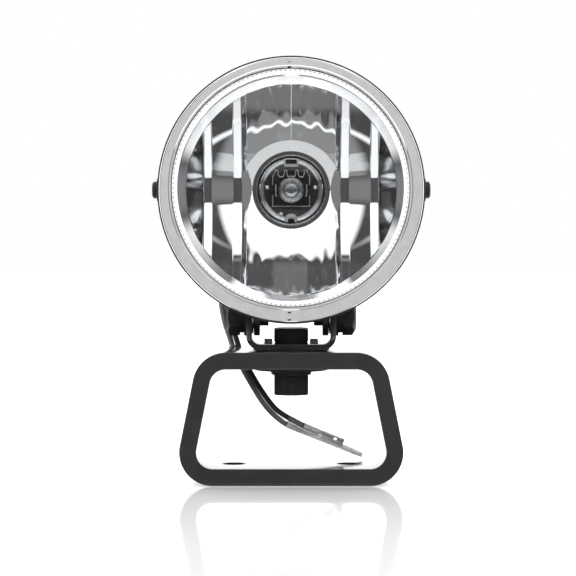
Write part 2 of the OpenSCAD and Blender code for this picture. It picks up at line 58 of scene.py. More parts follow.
MM = 0.001
scene = bpy.context.scene


# ---------------------------------------------------------------- places, from the frame

def span(node):
    """The lowest and highest corners of a CAD node, in millimetres."""
    low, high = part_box(node)
    return Vector(low) / MM, Vector(high) / MM


bracket_half_w, bracket_half_d, bracket_h = span("loop_bracket")[1]
bezel_low, bezel_high = span("bezel")
bezel_r = bezel_high.x
bezel_front = -bezel_low.y
lamp_z = (bezel_low.z + bezel_high.z) / 2
bolt_low, bolt_high = span("pivot_bolts")
pivot_z = (bolt_low.z + bolt_high.z) / 2
rim_front = -span("reflector")[0].y
carrier_low, carrier_high = span("bulb_carrier")
carrier_front = -carrier_low.y
BOLT_R = 5
BULB_R = 6
EAR_IN = 15.6            # half the gap between the housing's ears
BEZEL_DEPTH = 9


# ---------------------------------------------------------------- camera

# The camera stands level with the lamp and looks down a little, so that the whole object is in view
CAMERA_DISTANCE = 1344
CAMERA_SIDE = -1.6
SENSOR_W = 36
FOCAL_LENGTH = 167.9375
LOOK_DOWN = math.radians(2.08876)


def make_camera():
    data = bpy.data.cameras.new("camera")
    data.sensor_width = SENSOR_W
    data.lens = FOCAL_LENGTH
    data.clip_start = 0.01
    data.clip_end = 50
    camera = bpy.data.objects.new("camera", data)
    scene.collection.objects.link(camera)
    camera.location = (CAMERA_SIDE * MM, -CAMERA_DISTANCE * MM, lamp_z * MM)
    camera.rotation_euler = (math.pi / 2 - LOOK_DOWN, 0, 0)
    scene.camera = camera


make_camera()


# ---------------------------------------------------------------- materials

def new_material(name):
    material = bpy.data.materials.new(name)
    material.use_nodes = True
    return material, material.node_tree, material.node_tree.nodes["Principled BSDF"]


def set_inputs(shader, values):
    for name, value in values.items():
        if isinstance(value, (tuple, list)) and len(value) == 3:
            value = (*value, 1)
        shader.inputs[name].default_value = value


def add_noise(tree, scale, detail):
    """A noise texture over object space; scale is in grains per metre."""
    coordinates = tree.nodes.new("ShaderNodeTexCoord")
    noise = tree.nodes.new("ShaderNodeTexNoise")
    noise.inputs["Scale"].default_value = scale
    noise.inputs["Detail"].default_value = detail
    tree.links.new(coordinates.outputs["Object"], noise.inputs["Vector"])
    return noise


def vary(tree, noise, low, high, target):
    """Maps the noise onto a number between low and high."""
    spread = tree.nodes.new("ShaderNodeMapRange")
    spread.inputs["From Min"].default_value = 0.3
    spread.inputs["From Max"].default_value = 0.7
    spread.inputs["To Min"].default_value = low
    spread.inputs["To Max"].default_value = high
    tree.links.new(noise.outputs["Fac"], spread.inputs["Value"])
    tree.links.new(spread.outputs["Result"], target)


def tint(tree, noise, dark, light, target):
    """Maps the noise onto a colour between dark and light."""
    ramp = tree.nodes.new("ShaderNodeValToRGB")
    ramp.color_ramp.elements[0].position = 0.3
    ramp.color_ramp.elements[0].color = (*dark, 1)
    ramp.color_ramp.elements[1].position = 0.7
    ramp.color_ramp.elements[1].color = (*light, 1)
    tree.links.new(noise.outputs["Fac"], ramp.inputs["Fac"])
    tree.links.new(ramp.outputs["Color"], target)


def bump(tree, noise, shader, strength, depth_mm):
    node = tree.nodes.new("ShaderNodeBump")
    node.inputs["Strength"].default_value = strength
    node.inputs["Distance"].default_value = depth_mm * MM
    tree.links.new(noise.outputs["Fac"], node.inputs["Height"])
    tree.links.new(node.outputs["Normal"], shader.inputs["Normal"])


def surface(name, dark, light, rough, grain, bump_strength, bump_mm, **inputs):
    """A solid surface whose colour and gloss vary with broad and fine noise."""
    material, tree, shader = new_material(name)
    broad = add_noise(tree, grain / 12, 3)
    fine = add_noise(tree, grain, 5)
    tint(tree, broad, dark, light, shader.inputs["Base Color"])
    vary(tree, fine, rough[0], rough[1], shader.inputs["Roughness"])
    bump(tree, fine, shader, bump_strength, bump_mm)
    set_inputs(shader, inputs)
    return material


def grey(value):
    return (value, value, value * 1.02)


enamel = surface("enamel", grey(0.024), grey(0.030), (0.10, 0.16), 900, 0.06, 0.01)
black_steel = surface("black_steel", grey(0.012), grey(0.020), (0.45, 0.6), 2200, 0.2, 0.02,
                      **{"Specular IOR Level": 0.25})
black_plastic = surface("black_plastic", grey(0.010), grey(0.016), (0.38, 0.55), 2600, 0.25, 0.04)
rubber = surface("rubber", grey(0.014), grey(0.022), (0.6, 0.75), 1500, 0.25, 0.05,
                 **{"Specular IOR Level": 0.3})
nylon = surface("nylon", (0.03, 0.06, 0.2), (0.05, 0.09, 0.27), (0.35, 0.45), 800, 0.1, 0.02)
satin = surface("satin", grey(0.42), grey(0.47), (0.45, 0.55), 2600, 0.3, 0.02, Metallic=0.25)
polished = surface("polished", grey(0.80), grey(0.86), (0.05, 0.09), 600, 0.03, 0.01, Metallic=1.0)
mirror_coat = surface("mirror_coat", grey(0.88), grey(0.91), (0.015, 0.035), 220, 0.05, 0.02, Metallic=1.0)
bright_steel = surface("bright_steel", grey(0.50), grey(0.62), (0.2, 0.32), 1500, 0.15, 0.02, Metallic=1.0)
brass = surface("brass", (0.55, 0.4, 0.18), (0.65, 0.5, 0.26), (0.2, 0.35), 900, 0.1, 0.02, Metallic=1.0)
grey_pvc = surface("grey_pvc", grey(0.14), grey(0.19), (0.32, 0.42), 1200, 0.15, 0.03)
black_pvc = surface("black_pvc", grey(0.012), grey(0.02), (0.25, 0.36), 1200, 0.15, 0.03)
tinned = surface("tinned", grey(0.50), grey(0.66), (0.24, 0.38), 2400, 0.2, 0.02, Metallic=0.55)
pressed_steel = surface("pressed_steel", grey(0.82), grey(0.92), (0.2, 0.32), 1500, 0.15, 0.02, Metallic=0.2)
tungsten = surface("tungsten", grey(0.30), grey(0.36), (0.3, 0.4), 900, 0.1, 0.02, Metallic=1.0)
clear_pvc = surface("clear_pvc", grey(0.90), grey(0.96), (0.03, 0.08), 500, 0.1, 0.03,
                    **{"Transmission Weight": 0.92, "IOR": 1.2})
milky_pvc = surface("milky_pvc", grey(0.97), grey(1.0), (0.25, 0.35), 500, 0.1, 0.03,
                    **{"Transmission Weight": 0.45, "IOR": 1.2})


def glass(name, colour, ripple):
    """Clear moulded glass with a faint ripple."""
    material, tree, shader = new_material(name)
    waves = add_noise(tree, ripple, 2)
    vary(tree, waves, 0.0, 0.012, shader.inputs["Roughness"])
    bump(tree, waves, shader, 0.04, 0.02)
    set_inputs(shader, {"Base Color": colour, "Transmission Weight": 1.0, "IOR": 1.47})
    return material


frosted = surface("frosted", grey(0.86), grey(0.94), (0.3, 0.4), 900, 0.1, 0.02)
knurl_glass = surface("knurl_glass", grey(0.20), grey(0.26), (0.3, 0.4), 900, 0.1, 0.02)
lens_glass = glass("lens_glass", (0.97, 0.98, 0.98), 60)
bulb_quartz = glass("bulb_quartz", (0.95, 0.96, 0.97), 200)


# ---------------------------------------------------------------- mesh helpers

SHARP = math.radians(32)
BEVEL_ABOVE = math.radians(28)


def add_piece(name, points, faces, materials, face_slots=None):
    """A mesh object from points in millimetres."""
    mesh = bpy.data.meshes.new(name)
    mesh.from_pydata([Vector(p) * MM for p in points], [], faces)
    for material in materials:
        mesh.materials.append(material)
    if face_slots:
        mesh.polygons.foreach_set("material_index", face_slots)
    piece = bpy.data.objects.new(name, mesh)
    scene.collection.objects.link(piece)
    finish_mesh(piece)
    return piece


def shade(mesh):
    """Smooth up to the sharp angle."""
    mesh.polygons.foreach_set("use_smooth", [True] * len(mesh.polygons))
    mesh.set_sharp_from_angle(angle=SHARP)


def finish_mesh(piece):
    """Welds, turns the faces outwards and shades."""
    work = bmesh.new()
    work.from_mesh(piece.data)
    bmesh.ops.remove_doubles(work, verts=work.verts, dist=1e-6)
    bmesh.ops.dissolve_degenerate(work, edges=work.edges, dist=1e-7)
    bmesh.ops.recalc_face_normals(work, faces=work.faces)
    work.to_mesh(piece.data)
    work.free()
    shade(piece.data)


def apply_modifiers(piece):
    """Bakes the piece's modifiers into its mesh."""
    graph = bpy.context.evaluated_depsgraph_get()
    mesh = bpy.data.meshes.new_from_object(piece.evaluated_get(graph))
    piece.modifiers.clear()
    piece.data = mesh
    shade(mesh)


def bevel(piece, width_mm, segments):
    """Rounds the edges that are sharper than the bevel angle."""
    modifier = piece.modifiers.new("bevel", "BEVEL")
    modifier.width = width_mm * MM
    modifier.segments = segments
    modifier.limit_method = "ANGLE"
    modifier.angle_limit = BEVEL_ABOVE
    modifier.use_clamp_overlap = True
    modifier.miter_outer = "MITER_ARC"
    apply_modifiers(piece)


def cut(piece, cutter):
    """Takes one mesh out of another and deletes the cutter."""
    modifier = piece.modifiers.new("cut", "BOOLEAN")
    modifier.operation = "DIFFERENCE"
    modifier.solver = "EXACT"
    modifier.object = cutter
    bpy.context.view_layer.update()
    apply_modifiers(piece)
    bpy.data.objects.remove(cutter)


def join(pieces, name):
    """One object from several."""
    work = bmesh.new()
    materials = []
    for piece in pieces:
        slots = []
        for material in piece.data.materials:
            if material not in materials:
                materials.append(material)
            slots.append(materials.index(material))
        start = len(work.faces)
        work.from_mesh(piece.data)
        work.faces.ensure_lookup_table()
        for face in work.faces[start:]:
            face.material_index = slots[face.material_index]
    mesh = bpy.data.meshes.new(name)
    work.to_mesh(mesh)
    work.free()
    for material in materials:
        mesh.materials.append(material)
    for piece in pieces:
        bpy.data.objects.remove(piece)
    joined = bpy.data.objects.new(name, mesh)
    scene.collection.objects.link(joined)
    shade(mesh)
    return joined


def soften(node, material, width_mm, segments=2):
    """A copy of a CAD node's mesh with rounded edges, which stands for the node."""
    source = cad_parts[node]
    mesh = source.data.copy()
    mesh.transform(source.matrix_world)
    mesh.materials.clear()
    mesh.materials.append(material)
    piece = bpy.data.objects.new(node + "_visual", mesh)
    scene.collection.objects.link(piece)
    work = bmesh.new()
    work.from_mesh(mesh)
    bmesh.ops.remove_doubles(work, verts=work.verts, dist=2e-6)
    bmesh.ops.dissolve_limit(work, angle_limit=math.radians(0.6), verts=work.verts, edges=work.edges)
    work.to_mesh(mesh)
    work.free()
    mesh.polygons.foreach_set("material_index", [0] * len(mesh.polygons))
    bevel(piece, width_mm, segments)
    return piece


def stand_for(piece, body, slot, *nodes):
    """Rides the piece on its body and hides the CAD nodes that it replaces; the slot, its finish's name, is
    not used.
    """
    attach(piece, body)
    if nodes:
        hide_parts(*nodes)
    return piece


def fillet(outline, radius, steps=3):
    """Rounds the corners of a closed outline."""
    rounded = []
    count = len(outline)
    for i, corner in enumerate(outline):
        here = Vector(corner)
        before = Vector(outline[i - 1]) - here
        after = Vector(outline[(i + 1) % count]) - here
        turn = before.angle(-after, 0)
        reach = min(radius, 0.4 * before.length, 0.4 * after.length)
        if turn < math.radians(12) or reach < 1e-4:
            rounded.append(tuple(here))
            continue
        start = here + before.normalized() * reach
        end = here + after.normalized() * reach
        for k in range(steps + 1):
            t = k / steps
            rounded.append(tuple((1 - t) ** 2 * start + 2 * t * (1 - t) * here + t * t * end))
    return rounded


def on_lamp(r, ahead, angle):
    """A place round the lamp's axis, ahead of the pivot; the angle starts at the top."""
    return (r * math.sin(angle), -ahead, lamp_z + r * math.cos(angle))


def round_z(x):
    """Places on circles round an upright axis at x."""
    return lambda r, height, angle: (x + r * math.cos(angle), r * math.sin(angle), height)


def round_y(x, z):
    """Places on circles round a front-to-back axis."""
    return lambda r, y, angle: (x + r * math.cos(angle), y, z + r * math.sin(angle))


def on_pivot(r, x, angle):
    return (x, r * math.cos(angle), pivot_z + r * math.sin(angle))


def arc(r, degrees, u=0, v=0):
    """Points of a circle about (u, v) at these angles."""
    return [(u + r * math.cos(math.radians(a)), v + r * math.sin(math.radians(a))) for a in degrees]


def ring_faces(rings, sides, start=0, joined=False):
    """Faces between rings of points, numbered from start; joined also connects the last ring to the first."""
    faces = []
    for i in range(rings if joined else rings - 1):
        a, b = start + i * sides, start + (i + 1) % rings * sides
        faces += [(a + k, a + (k + 1) % sides, b + (k + 1) % sides, b + k) for k in range(sides)]
    return faces


def lathe(name, outline, place, materials, steps=160, slot_of=None, closed=True):
    """Turns an outline of (radius, distance) round an axis. slot_of picks a face's material by its middle."""
    points, faces, slots = [], [], []
    count = len(outline)
    for s in range(steps):
        points += [place(r, h, 2 * math.pi * s / steps) for r, h in outline]
    for s in range(steps):
        a, b = s * count, (s + 1) % steps * count
        for i in range(count if closed else count - 1):
            j = (i + 1) % count
            faces.append((a + i, a + j, b + j, b + i))
            middle = ((outline[i][0] + outline[j][0]) / 2, (outline[i][1] + outline[j][1]) / 2)
            slots.append(slot_of(*middle) if slot_of else 0)
    return add_piece(name, points, faces, materials, slots)


def rod(name, start, end, r, material, sides=24):
    """A straight round bar."""
    way = Vector(end) - Vector(start)
    turn = way.to_track_quat("Z", "Y")

    def place(radius, height, angle):
        spoke = Vector((radius * math.cos(angle), radius * math.sin(angle), height))
        return Vector(start) + turn @ spoke

    edge = min(0.25, r * 0.3)
    outline = [(0, 0), (r - edge, 0), (r, edge),
               (r, way.length - edge), (r - edge, way.length), (0, way.length)]
    return lathe(name, outline, place, [material], sides, closed=False)


def prism(name, outline, place, depth, material):
    """An outline of (u, v) pushed through a depth; place(u, v, w) gives the point."""
    count = len(outline)
    points = [place(u, v, 0) for u, v in outline] + [place(u, v, depth) for u, v in outline]
    faces = [tuple(range(count)), tuple(range(2 * count - 1, count - 1, -1))]
    faces += [(i, (i + 1) % count, count + (i + 1) % count, count + i) for i in range(count)]
    return add_piece(name, points, faces, [material])


# ---------------------------------------------------------------- leads

LEAD_D = 2.9
GREY_ROUTE = [
    (-17.5, 38, 118), (-17.5, 43, 118), (-19, 48, 115.5), (-23, 50.5, 110.5),
    (-28, 50.5, 105), (-32.5, 49, 99.5), (-35.2, 45.5, 93.5), (-36, 41.5, 87.5),
    (-35, 38, 81.4), (-33.7, 35, 76.2), (-31.6, 32.4, 70.6), (-29.9, 30.6, 65.2),
    (-27.7, 30.4, 60), (-24.8, 30.1, 54.2), (-21.9, 29.6, 49), (-18.9, 29, 43.9),
    (-14.6, 28, 37.2), (-10, 27.3, 31.8), (-5, 26.8, 27.6), (-1.8, 26.6, 25.6),
    (2, 26.3, 24), (6, 26, 22.4),
]
BLACK_ROUTE = [
    (-14.5, 38, 118), (-14.5, 42.5, 118), (-16, 46.5, 114), (-19.5, 48.5, 108.5),
    (-24.5, 49, 103), (-29, 47, 97.5), (-31.8, 43.2, 92), (-32.9, 39.3, 86),
    (-31.9, 36.2, 80.7), (-30.2, 33.4, 75), (-28.1, 31, 69.6), (-26.6, 29.5, 65),
    (-24.7, 29.2, 60), (-21.7, 28.8, 54.2), (-18.8, 28.2, 49), (-15.6, 27.2, 43.9),
    (-10.9, 25.7, 37.3), (-6.8, 24.6, 33), (-1, 23.1, 29.3), (7, 20.9, 25.3),
]
GREY_SLEEVE = ((-1.8, 26.6, 26.2), (36.3, 24.2, 10.4))
BLACK_SLEEVE = ((-1, 23, 29.4), (6.2, 21.2, 25.6))
TERMINAL_AT = (6.4, 21.1, 25.5)
TERMINAL_DROP = math.radians(22.6)
# The route's point where the lead's upper piece ends
CROSSING = 7
# Points of a lead from one route point to the next
LEAD_STEPS = 6


def smooth_route(route, per_span):
    """Points along a Catmull-Rom curve through the route, per_span from each route point to the next."""
    points = [Vector(p) for p in route]
    ends = [2 * points[0] - points[1]] + points + [2 * points[-1] - points[-2]]
    line = []
    for i in range(1, len(ends) - 2):
        a, b, c, d = ends[i - 1:i + 3]
        for k in range(per_span):
            t = k / per_span
            line.append(0.5 * (2 * b + (c - a) * t + (2 * a - 5 * b + 4 * c - d) * t ** 2
                               + (3 * b - a - 3 * c + d) * t ** 3))
    return line + [points[-1]]


def tube(name, line, radius, material, sides=20):
    """A round tube along a line, carried without twist."""
    points = []
    side = Vector((1, 0, 0))
    last = len(line) - 1
    for i, here in enumerate(line):
        ahead = (line[min(i + 1, last)] - line[max(i - 1, 0)]).normalized()
        side = (side - ahead * side.dot(ahead)).normalized()
        up = ahead.cross(side)
        for k in range(sides):
            angle = 2 * math.pi * k / sides
            points.append(here + radius * (math.cos(angle) * side + math.sin(angle) * up))
    faces = ring_faces(last + 1, sides)
    faces.append(tuple(range(sides - 1, -1, -1)))
    faces.append(tuple(range(last * sides, (last + 1) * sides)))
    return add_piece(name, points, faces, [material])


def line_length(line):
    return sum((b - a).length for a, b in zip(line, line[1:]))


def make_lead(colour, route, material):
    """A lead in two pieces that meet beside the yoke."""
    line = smooth_route(route, LEAD_STEPS)
    crossing = CROSSING * LEAD_STEPS
    upper_line, lower_line = line[:crossing + 1], line[crossing:]
    upper = tube(f"lead_{colour}_upper_visual", upper_line, LEAD_D / 2, material)
    lower = tube(f"lead_{colour}_visual", lower_line, LEAD_D / 2, material)
    meeting = Vector(route[CROSSING])
    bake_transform(upper)
    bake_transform(lower)
    for piece, node in ((upper, f"lead_{colour}_upper"), (lower, f"lead_{colour}")):
        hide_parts(node)
    line_length(upper_line) * MM
    [p * MM for p in upper_line]
    line_length(lower_line) * MM
    [p * MM for p in lower_line]


def along_frame(start, end, roll=0):
    """A function from (along, across, through) to a point, for pieces built on a slanting line."""
    start = Vector(start)
    ahead = (Vector(end) - start).normalized()
    across = ahead.cross(Vector((0, 1, 0))).normalized()
    through = across.cross(ahead)
    turned = math.cos(roll) * across + math.sin(roll) * through
    other = math.cos(roll) * through - math.sin(roll) * across
    return lambda t, u, v: start + t * ahead + u * turned + v * other


def folded_strip(name, place, start, end, section, thickness, material):
    """Sheet metal: a bent line of (u, v) with a thickness, from one place along to another."""
    outer, inner = [], []
    for i, (u, v) in enumerate(section):
        before = Vector(section[max(i - 1, 0)])
        after = Vector(section[min(i + 1, len(section) - 1)])
        ahead = (after - before).normalized()
        normal = Vector((-ahead.y, ahead.x)) * thickness / 2
        outer.append((u + normal.x, v + normal.y))
        inner.append((u - normal.x, v - normal.y))
    outline = outer + inner[::-1]
    return prism(name, outline, lambda u, v, w: place(start + w, u, v), end - start, material)


def arc_section(r, start, end):
    """A round stretch of sheet metal, seen end on, between two angles in degrees."""
    steps = 14
    return arc(r, [start + (end - start) * i / steps for i in range(steps + 1)])


def make_spade():
    """The black lead's open terminal: crimps on a spine, and a rolled receptacle with a stop and a hole."""
    start = Vector(TERMINAL_AT)
    end = start + Vector((math.cos(TERMINAL_DROP), 0, -math.sin(TERMINAL_DROP)))
    # Across the view the terminal's width runs up and down, and its broad face looks at the camera
    place = along_frame(start, end, math.radians(-12))
    sheet = 0.35
    spine = [(-1.0, 1.3), (-0.6, 1.6), (0.6, 1.6), (1.0, 1.3)]
    parts = [
        folded_strip("crimp_insulation", place, 0.1, 3.9, arc_section(1.75, -205, 150), sheet, tinned),
        folded_strip("crimp_wire", place, 4.3, 8.3, arc_section(1.6, -200, 145), sheet, tinned),
        folded_strip("spine", place, 0.3, 11, spine, sheet, tinned),
        rod("strands", place(2.5, 0, 0), place(9.4, 0, 0.3), 0.8, tinned, 16),
    ]
    half, curl = 1.75, 0.75
    rolled = arc(curl, range(300, 89, -15), curl - half, -0.25)
    mirrored = [(-u, v) for u, v in reversed(rolled)]
    body = folded_strip("receptacle", place, 10.5, 21.9, rolled + mirrored, sheet, tinned)
    cut(body, rod("hole", place(17.3, 0.2, -4), place(17.3, 0.2, 4), 0.85, tinned))
    stop = rod("stop", place(20, 0.2, 0.2), place(20, 0.2, 0.75), 0.55, tinned, 20)
    spade = join(parts + [body, stop], "spade_terminal_visual")
    bevel(spade, 0.07, 2)
    return stand_for(spade, "base", "bright_steel", "spade_terminal")


def make_sleeve(node, ends, r, wall, material, flat, taper):
    """A soft sleeve on a straight line, which narrows and is pressed flat towards its open end."""
    place = along_frame(*ends)
    length = (Vector(ends[1]) - Vector(ends[0])).length
    rings, sides = 41, 28
    points = []
    for inset in (0, wall):
        for i in range(rings):
            t = i / (rings - 1)
            ripple = 1 + 0.012 * math.sin(9 * t) + 0.008 * math.sin(23 * t + 1)
            thick = (r * (1 - flat * t ** 1.5) - inset) * ripple
            wide = (r * (1 - taper * t) - inset) * ripple
            for k in range(sides):
                a = 2 * math.pi * k / sides
                points.append(place(t * length, thick * math.cos(a), wide * math.sin(a)))
    inside = rings * sides
    faces = ring_faces(rings, sides) + ring_faces(rings, sides, inside)
    for end in (0, inside - sides):
        for k in range(sides):
            n = (k + 1) % sides
            faces.append((end + k, end + n, inside + end + n, inside + end + k))
    sleeve = add_piece(f"{node}_visual", points, faces, [material])
    return stand_for(sleeve, "base", "clear_pvc", node)


def make_grey_terminal():
    """The grey lead's pin, crimped inside the milky sleeve."""
    place = along_frame(*GREY_SLEEVE)
    parts = [
        folded_strip("grey_crimp", place, 9, 12.5, arc_section(1.3, -205, 150), 0.25, tinned),
        folded_strip("grey_neck", place, 9, 18, [(-0.5, 0.9), (0, 1.0), (0.5, 0.9)], 0.25, tinned),
        rod("grey_pin", place(16, 0, 0), place(36.5, 0, 0), 0.6, tinned, 16),
    ]
    return stand_for(join(parts, "grey_terminal_visual"), "base", "bright_steel", "grey_terminal")


def make_tie():
    """A flat band round both leads, square to their run."""
    centre = Vector((-28.2, 30.2, 64.4))
    turn = Matrix.Rotation(math.radians(22), 3, "Y")
    half, height = 1.5, 3

    def loop(name, radius, tall):
        outline = arc(radius, range(-90, 91, 15), half) + arc(radius, range(90, 271, 15), -half)

        def place(u, v, w):
            return centre + turn @ Vector((u, v, w - tall / 2))

        return prism(name, outline, place, tall, grey_pvc)

    band = loop("tie_band", 2.15, height)
    cut(band, loop("tie_hole", 1.42, 2 * height))
    bevel(band, 0.2, 2)
    return stand_for(band, "base", "grey_pvc", "cable_tie")


def make_leads():
    spade = make_spade()
    black_sleeve = make_sleeve("black_sleeve", BLACK_SLEEVE, 2.0, 0.3, clear_pvc, 0, 0)
    grey_sleeve = make_sleeve("grey_sleeve", GREY_SLEEVE, 2.2, 0.45, milky_pvc, 0.42, 0.1)
    grey_terminal = make_grey_terminal()
    make_tie()
    make_lead("grey", GREY_ROUTE, grey_pvc)
    make_lead("black", BLACK_ROUTE, black_pvc)


make_leads()


# ---------------------------------------------------------------- bracket, pads and swivel bolt

def make_bracket():
    """A closed strip of thick bar: its rounded section goes round the trapezoid's four bends."""
    wall, corner, edge = 8.4, 16.5, 0.35
    lean = 11.3
    low_x = bracket_half_w - corner
    high_x = low_x - (bracket_h - 2 * corner) * math.tan(math.radians(lean))
    high_z = bracket_h - corner
    bends = [(low_x, corner, -90, lean), (high_x, high_z, lean, 90),
             (-high_x, high_z, 90, 180 - lean), (-low_x, corner, 180 - lean, 270)]
    section = fillet([(corner - wall, -bracket_half_d), (corner, -bracket_half_d),
                      (corner, bracket_half_d), (corner - wall, bracket_half_d)], edge, 5)
    steps = 22
    points = []
    for x, z, start, end in bends:
        for i in range(steps + 1):
            a = math.radians(start + (end - start) * i / steps)
            points += [(x + r * math.cos(a), y, z + r * math.sin(a)) for r, y in section]
    faces = ring_faces(len(bends) * (steps + 1), len(section), joined=True)
    bracket = add_piece("loop_bracket_visual", points, faces, [enamel])
    hole_r, flare_r, past = 5.75, 6.3, 2
    hole = [(0, -past), (hole_r, -past), (hole_r, wall - 0.4),
            (flare_r, wall + 0.1), (flare_r, wall + past), (0, wall + past)]
    for x in (-28.75, 28.75):
        cut(bracket, lathe("hole", hole, round_z(x), [enamel], 64, closed=False))
    low, high = (0, 0, bracket_h - wall - past), (0, 0, bracket_h + past)
    cut(bracket, rod("bolt_hole", low, high, BOLT_R + 0.05, enamel, 64))
    return stand_for(bracket, "base", "black_paint", "loop_bracket")


def disc(node, body, slot, material, edge=0.25):
    """A washer or pad on the swivel bolt's axis, the size of its CAD node."""
    inner = BOLT_R + 0.05
    low, high = span(node)
    outline = fillet([(inner, low.z), (high.x, low.z), (high.x, high.z), (inner, high.z)], edge)
    return stand_for(lathe(f"{node}_visual", outline, round_z(0), [material]), body, slot, node)


def make_swivel():
    disc("swivel_pad", "base", "rubber", rubber)
    disc("lower_pad", "base", "rubber", rubber, edge=0.5)
    disc("flange_washer", "yoke", "black_steel", black_steel, edge=0.6)
    disc("nylon_ring", "yoke", "nylon", nylon)
    stand_for(soften("swivel_bolt", black_steel, 0.12), "yoke", "black_steel", "swivel_bolt")
    disc("head_washer", "yoke", "black_steel", black_steel, edge=0.2)
    stand_for(soften("lock_nut", black_steel, 0.12), "yoke", "black_steel", "lock_nut")


make_bracket()
make_swivel()
stand_for(soften("yoke", enamel, 0.25, 3), "yoke", "black_paint", "yoke")


# ---------------------------------------------------------------- tilt bolts

def make_tilt_thread(name, start, end):
    """A tilt bolt's thread, between two distances along its axis."""
    r, pitch, depth = BOLT_R + 0.12, 1.5, 0.75
    steps, rows_per_pitch = 48, 8
    rows = int(abs(end - start) / pitch * rows_per_pitch)
    points = []
    for i in range(rows + 1):
        x = start + (end - start) * i / rows
        for k in range(steps):
            phase = (i / rows_per_pitch + k / steps) % 1
            ridge = 1 - abs(2 * phase - 1)
            points.append(on_pivot(r - depth * (1 - ridge), x, 2 * math.pi * k / steps))
    faces = ring_faces(rows + 1, steps)
    faces.append(tuple(range(steps)))
    faces.append(tuple(range(rows * steps, (rows + 1) * steps)))
    return add_piece(name, points, faces, [black_steel])


def make_tilt_bolts():
    for node, material, width, slot in (
        ("pivot_bolts", black_steel, 0.15, "black_steel"),
        ("pivot_washers", black_steel, 0.15, "black_steel"),
        ("pivot_spring_washers", black_steel, 0.2, "black_steel"),
        ("friction_washers", bright_steel, 0.1, "bright_steel"),
        ("ear_inserts", bright_steel, 0.1, "bright_steel"),
    ):
        stand_for(soften(node, material, width), "head", slot, node)
    for name, side in (("left", -1), ("right", 1)):
        thread = make_tilt_thread(f"tilt_thread_{name}", side * (EAR_IN - 4.3), side * (EAR_IN + 0.5))
        stand_for(thread, "head", "black_steel")


make_tilt_bolts()


# ---------------------------------------------------------------- housing, bezel and lens

def make_housing():
    """The black tub: a drum with a rolled rim behind the bezel, a bowl with ribs, ears and screw bosses."""
    rim_back = bezel_front - BEZEL_DEPTH
    rim_r, drum_r, drum_in = 65.8, 64.4, 62.2
    drum_back, bowl_r, bowl_front = 13, 52, 12
    back, back_r, wall, access = -30, 36, 2.4, 20.2
    long = (bowl_front - back) / math.sqrt(1 - (back_r / bowl_r) ** 2)

    def bowl(inset, low):
        steps = 26
        ahead = [bowl_front + (low - bowl_front) * i / steps for i in range(steps + 1)]
        return [((bowl_r - inset) * math.sqrt(1 - ((bowl_front - h) / long) ** 2), h) for h in ahead]

    outside = [(rim_r, rim_back), (rim_r, rim_back - 3.6), (drum_r, rim_back - 4.4), (drum_r, drum_back),
               (bowl_r + 0.6, drum_back - 0.6)]
    outside += bowl(0, back) + [(access, back)]
    inside = [(access, back + wall)] + bowl(wall, back + wall)[::-1]
    inside += [(bowl_r - wall, drum_back + wall), (drum_in, drum_back + wall), (drum_in, rim_back)]
    parts = [lathe("housing_shell", fillet(outside + inside, 0.3), on_lamp, [black_plastic], 224)]
    for side in (-1, 1):
        parts += [make_ear(side), make_boss(side)]
    ribs = 12
    for i in range(ribs):
        angle = 2 * math.pi * (i + 0.5) / ribs
        # The two lowest ribs are left out, because the ears stand there
        if math.cos(angle) > -0.8:
            parts.append(make_rib(angle, bowl(0, back)))
    seat = [(4.4, -back - wall), (6.4, -back), (6.4, -back + 2.5), (4.4, -back + 2.5)]
    parts.append(lathe("grommet_seat", fillet(seat, 0.3), round_grommet(), [black_plastic], 48))
    return stand_for(join(parts, "housing_visual"), "head", "black_plastic", "housing", "housing_ears")


def make_ear(side):
    """A plate under the housing with a round foot and the bore for a tilt bolt."""
    outline = arc(10, range(180, 361, 10)) + [(12.4, 16), (-10.2, 16)]
    ear = prism("ear", outline, lambda u, v, w: (side * (EAR_IN + w), u, pivot_z + v), 3.1, black_plastic)
    cut(ear, rod("bore", (side * 10, 0, pivot_z), (side * 25, 0, pivot_z), 6.2, black_plastic, 48))
    bevel(ear, 0.5, 3)
    return ear


def make_boss(side):
    """The round boss on the housing's side that takes a bezel screw."""
    outline = fillet([(0, 62.8), (5.6, 62.8), (5.6, 66.2), (0, 66.2)], 0.4)

    def place(r, x, angle):
        return (side * x, -19 + r * math.cos(angle), lamp_z + r * math.sin(angle))

    return lathe("screw_boss", outline, place, [black_plastic], 48)


def make_rib(angle, curve):
    """A thin rib that stands on the bowl between its shoulder and its flat back."""
    half, proud, sunk = 0.8, 1.1, 0.5
    stretch = curve[4:-3]
    front, back = stretch[0][1], stretch[-1][1]
    side = Vector((math.cos(angle), 0, -math.sin(angle)))
    points = []
    for r, h in stretch:
        top = proud * math.sin(math.pi * (h - back) / (front - back)) ** 0.3
        for across in (-half, half):
            points += [Vector(on_lamp(r + height, h, angle)) + across * side for height in (-sunk, top)]
    end = len(points) - 4
    faces = []
    for a in range(0, end, 4):
        b = a + 4
        faces += [(a, a + 1, b + 1, b), (a + 1, a + 3, b + 3, b + 1)]
        faces += [(a + 3, a + 2, b + 2, b + 3), (a + 2, a, b, b + 2)]
    faces += [(0, 2, 3, 1), (end, end + 1, end + 3, end + 2)]
    rib = add_piece("rib", points, faces, [black_plastic])
    bevel(rib, 0.25, 2)
    return rib


def round_grommet():
    """Places round the lead grommet's axis."""
    low, high = span("lead_grommet")
    return round_y((low.x + high.x) / 2, (low.z + high.z) / 2)


# The bezel's opening sits a little above and beside the middle of its outer edge
OPENING_SHIFT = (-0.35, 1.07)
PLAIN_R = 62.5           # outside this radius nothing is shifted
SHIFTED_R = 60.0         # and inside this one everything is


